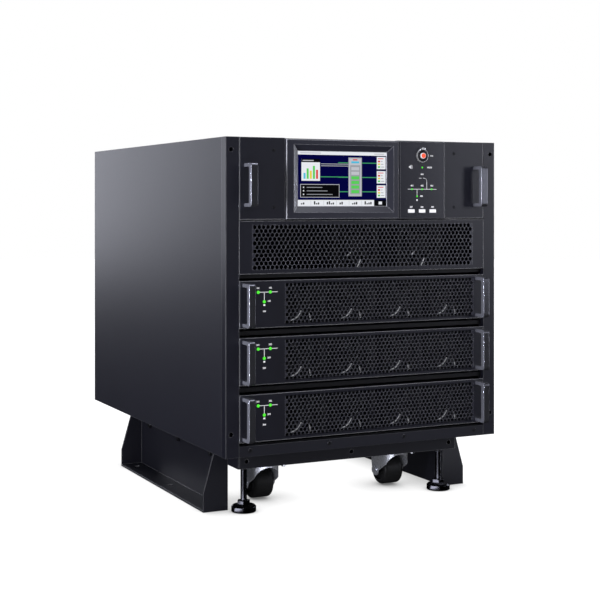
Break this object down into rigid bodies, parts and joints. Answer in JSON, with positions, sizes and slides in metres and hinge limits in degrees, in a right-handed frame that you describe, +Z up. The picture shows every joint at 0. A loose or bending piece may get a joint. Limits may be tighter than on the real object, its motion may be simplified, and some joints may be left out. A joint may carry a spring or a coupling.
{
  "type": "modular ups cabinet",
  "caption": "Rack-width uninterruptible power supply cabinet: display section, intake grille, plug-in power modules, base on casters, levelling feet and stabilisers.",
  "frame": {"origin": "middle of the floor footprint's box, at floor level", "axes": "+Z up, +Y from the front to the back, +X to the right as seen from the front"},
  "size_m": [0.4826, 0.6794, 0.582],
  "materials": {
    "housing_paint": "satin powder coat",
    "front_paint": "satin powder coat",
    "bezel_plastic": "satin moulding",
    "screen_glass": "gloss",
    "control_skin": "satin",
    "collar_chrome": "polished",
    "button_red": "gloss",
    "key_white": "matte",
    "handle_metal": "anodised",
    "fan_plastic": "matte",
    "galvanised": "zinc plated",
    "base_paint": "satin powder coat",
    "foot_steel": "blackened",
    "fork_steel": "zinc plated",
    "wheel_rubber": "matte"
  },
  "bodies": {
    "cabinet": {"left_side_panel": "housing_paint", "right_side_panel": "housing_paint", "top_cover": "housing_paint", "floor_pan": "housing_paint", "rear_panel": "housing_paint", "terminal_cover": "housing_paint", "rack_ears": "front_paint", "fascia_panels": "front_paint", "display_bezel": "bezel_plastic", "display_screen": "screen_glass", "control_plate": "control_skin", "button_collar": "collar_chrome", "upper_handles": "handle_metal", "intake_grille": "front_paint", "intake_fans": "fan_plastic", "bay_shelves": "housing_paint", "bay_runners": "housing_paint", "lower_front_strip": "front_paint", "base_beams": "base_paint", "base_side_rails": "base_paint", "left_stabiliser": "base_paint", "right_stabiliser": "base_paint", "caster_plates": "galvanised"},
    "emergency_off_button": {"emergency_off_button": "button_red"},
    "control_key_left": {"control_key_left": "key_white"},
    "control_key_middle": {"control_key_middle": "key_white"},
    "control_key_right": {"control_key_right": "key_white"},
    "module_1": {"module_1_case": "housing_paint", "module_1_face": "front_paint", "module_1_fans": "fan_plastic", "module_1_handles": "handle_metal"},
    "module_2": {"module_2_case": "housing_paint", "module_2_face": "front_paint", "module_2_fans": "fan_plastic", "module_2_handles": "handle_metal"},
    "module_3": {"module_3_case": "housing_paint", "module_3_face": "front_paint", "module_3_fans": "fan_plastic", "module_3_handles": "handle_metal"},
    "foot_front_left": {"foot_front_left": "foot_steel"},
    "caster_fork_front_left": {"caster_fork_front_left": "fork_steel"},
    "caster_wheel_front_left": {"caster_wheel_front_left": "wheel_rubber"},
    "foot_front_right": {"foot_front_right": "foot_steel"},
    "caster_fork_front_right": {"caster_fork_front_right": "fork_steel"},
    "caster_wheel_front_right": {"caster_wheel_front_right": "wheel_rubber"},
    "foot_rear_left": {"foot_rear_left": "foot_steel"},
    "caster_fork_rear_left": {"caster_fork_rear_left": "fork_steel"},
    "caster_wheel_rear_left": {"caster_wheel_rear_left": "wheel_rubber"},
    "foot_rear_right": {"foot_rear_right": "foot_steel"},
    "caster_fork_rear_right": {"caster_fork_rear_right": "fork_steel"},
    "caster_wheel_rear_right": {"caster_wheel_rear_right": "wheel_rubber"}
  },
  "joints": [
    {"name": "emergency_off_press", "type": "slide", "parent": "cabinet", "child": "emergency_off_button", "axis": [0, 1, 0], "range_m": [0, 0.002], "stiffness_N_per_m": 500},
    {"name": "control_key_left_press", "type": "slide", "parent": "cabinet", "child": "control_key_left", "axis": [0, 1, 0], "range_m": [0, 0.0008], "stiffness_N_per_m": 900},
    {"name": "control_key_middle_press", "type": "slide", "parent": "cabinet", "child": "control_key_middle", "axis": [0, 1, 0], "range_m": [0, 0.0008], "stiffness_N_per_m": 900},
    {"name": "control_key_right_press", "type": "slide", "parent": "cabinet", "child": "control_key_right", "axis": [0, 1, 0], "range_m": [0, 0.0008], "stiffness_N_per_m": 900},
    {"name": "module_1_slide", "type": "slide", "parent": "cabinet", "child": "module_1", "axis": [0, -1, 0], "range_m": [0, 0.45]},
    {"name": "module_2_slide", "type": "slide", "parent": "cabinet", "child": "module_2", "axis": [0, -1, 0], "range_m": [0, 0.45]},
    {"name": "module_3_slide", "type": "slide", "parent": "cabinet", "child": "module_3", "axis": [0, -1, 0], "range_m": [0, 0.45]},
    {"name": "foot_front_left_screw", "type": "slide", "parent": "cabinet", "child": "foot_front_left", "axis": [0, 0, 1], "range_m": [0, 0.015]},
    {"name": "caster_front_left_swivel", "type": "hinge", "parent": "cabinet", "child": "caster_fork_front_left", "pos_m": [-0.1215, -0.18425, 0.0637], "axis": [0, 0, 1], "continuous": true},
    {"name": "caster_front_left_roll", "type": "hinge", "parent": "caster_fork_front_left", "child": "caster_wheel_front_left", "pos_m": [-0.1215, -0.16725, 0.027], "axis": [1, 0, 0], "continuous": true},
    {"name": "foot_front_right_screw", "type": "slide", "parent": "cabinet", "child": "foot_front_right", "axis": [0, 0, 1], "range_m": [0, 0.015]},
    {"name": "caster_front_right_swivel", "type": "hinge", "parent": "cabinet", "child": "caster_fork_front_right", "pos_m": [0.1215, -0.18425, 0.0637], "axis": [0, 0, 1], "continuous": true},
    {"name": "caster_front_right_roll", "type": "hinge", "parent": "caster_fork_front_right", "child": "caster_wheel_front_right", "pos_m": [0.1215, -0.16725, 0.027], "axis": [1, 0, 0], "continuous": true},
    {"name": "foot_rear_left_screw", "type": "slide", "parent": "cabinet", "child": "foot_rear_left", "axis": [0, 0, 1], "range_m": [0, 0.015]},
    {"name": "caster_rear_left_swivel", "type": "hinge", "parent": "cabinet", "child": "caster_fork_rear_left", "pos_m": [-0.1215, 0.16475, 0.0637], "axis": [0, 0, 1], "continuous": true},
    {"name": "caster_rear_left_roll", "type": "hinge", "parent": "caster_fork_rear_left", "child": "caster_wheel_rear_left", "pos_m": [-0.1215, 0.14775, 0.027], "axis": [1, 0, 0], "continuous": true},
    {"name": "foot_rear_right_screw", "type": "slide", "parent": "cabinet", "child": "foot_rear_right", "axis": [0, 0, 1], "range_m": [0, 0.015]},
    {"name": "caster_rear_right_swivel", "type": "hinge", "parent": "cabinet", "child": "caster_fork_rear_right", "pos_m": [0.1215, 0.16475, 0.0637], "axis": [0, 0, 1], "continuous": true},
    {"name": "caster_rear_right_roll", "type": "hinge", "parent": "caster_fork_rear_right", "child": "caster_wheel_rear_right", "pos_m": [0.1215, 0.14775, 0.027], "axis": [1, 0, 0], "continuous": true}
  ]
}
